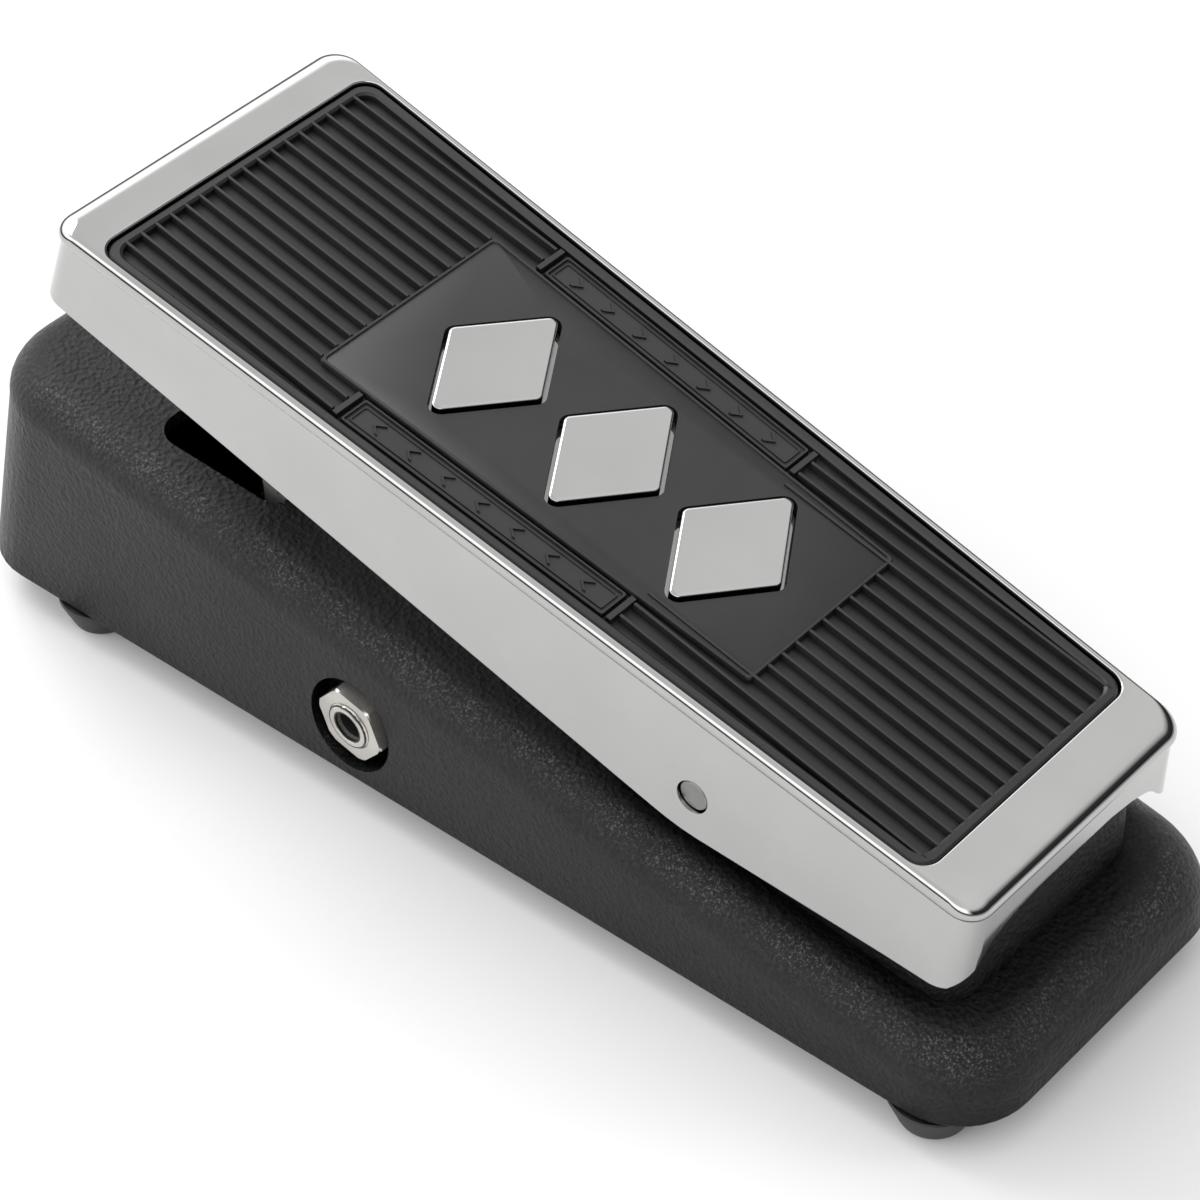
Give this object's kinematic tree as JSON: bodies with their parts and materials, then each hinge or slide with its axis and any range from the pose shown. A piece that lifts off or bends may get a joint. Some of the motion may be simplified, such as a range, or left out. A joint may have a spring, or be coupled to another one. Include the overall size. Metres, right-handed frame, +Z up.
{
  "type": "guitar effects pedal",
  "caption": "Rocker pedal: chromed treadle with ribbed rubber pad hinged on a black cast base; the toe drives a rack and pinion onto a pot and presses a footswitch.",
  "frame": {"origin": "on the floor, under the middle of the base casting", "axes": "+X to the player's right (input side), +Y from heel to toe, +Z up"},
  "size_m": [0.094, 0.252, 0.099],
  "materials": {
    "black_paint": "black crinkle paint",
    "chrome": "bright plating over a casting",
    "black_rubber": "moulded, matt",
    "steel": "plated steel",
    "nickel": "nickel plate",
    "white_nylon": "moulded nylon",
    "black_plastic": "moulded plastic",
    "board_green": "green solder mask",
    "red_lacquer": "dipped",
    "yellow_film": "dipped film",
    "blue_sleeve": "shrink sleeve",
    "tan_body": "lacquered body",
    "battery_grey": "printed can, unmarked",
    "foam_grey": "open-cell foam",
    "red_wire": "PVC insulation",
    "black_wire": "PVC insulation",
    "white_wire": "PVC insulation"
  },
  "bodies": {
    "base": {"base_casting": "black_paint", "bottom_plate": "black_paint", "foot_heel_left": "black_rubber", "foot_heel_right": "black_rubber", "foot_toe_left": "black_rubber", "foot_toe_right": "black_rubber", "pot_body": "steel", "pot_bracket": "steel", "bracket_screw_rear": "steel", "bracket_screw_front": "steel", "board_screw_left": "steel", "board_screw_right": "steel", "foot_screw_heel_left": "steel", "foot_screw_heel_right": "steel", "foot_screw_toe_left": "steel", "foot_screw_toe_right": "steel", "pot_nut": "nickel", "footswitch_washer": "nickel", "footswitch_nut": "nickel", "output_jack_nut": "nickel", "input_jack_nut": "nickel", "dc_jack_nut": "nickel", "hinge_bushing_left": "white_nylon", "hinge_bushing_right": "white_nylon", "rack_guide": "white_nylon", "footswitch_body": "black_plastic", "output_jack": "black_plastic", "input_jack": "black_plastic", "dc_jack": "black_plastic", "battery_snap": "black_plastic", "transistor_first": "black_plastic", "transistor_second": "black_plastic", "circuit_board": "board_green", "inductor": "red_lacquer", "film_cap_sweep": "yellow_film", "film_cap_output": "yellow_film", "electrolytic_input": "blue_sleeve", "electrolytic_bypass": "blue_sleeve", "resistor_bias": "tan_body", "resistor_load": "tan_body", "resistor_feedback": "tan_body", "battery": "battery_grey", "battery_foam": "foam_grey", "wire_battery": "red_wire", "wire_pot": "red_wire", "wire_input": "black_wire", "wire_output": "white_wire"},
    "treadle": {"treadle_casting": "chrome", "rubber_pad": "black_rubber", "hinge_rod": "steel", "toe_bumper": "black_rubber", "heel_bumper_left": "black_rubber", "heel_bumper_right": "black_rubber", "rack_pin": "steel", "rack_pin_clip": "steel"},
    "rack": {"rack": "white_nylon"},
    "pinion": {"pinion": "black_plastic", "pot_shaft": "steel"},
    "footswitch": {"footswitch_plunger": "nickel"}
  },
  "joints": [
    {"name": "treadle_hinge", "type": "hinge", "parent": "base", "child": "treadle", "pos_m": [0, -0.05975, 0.0457], "axis": [-1, 0, 0], "range_deg": [0, 9.3]},
    {"name": "rack_slide", "type": "slide", "parent": "base", "child": "rack", "axis": [0, 0, -1], "range_m": [0, 0.0187]},
    {"name": "pinion_spin", "type": "hinge", "parent": "base", "child": "pinion", "pos_m": [-0.02, 0.0465, 0.031], "axis": [-1, 0, 0], "range_deg": [0, 195]},
    {"name": "footswitch_push", "type": "slide", "parent": "base", "child": "footswitch", "axis": [0, 0, -1], "range_m": [0, 0.003], "stiffness_N_per_m": 1500}
  ],
  "couplings": [
    {"joint": "rack_slide", "follows": "treadle_hinge", "m_per_rad": 0.1145},
    {"joint": "pinion_spin", "follows": "treadle_hinge", "ratio": 20.818}
  ]
}
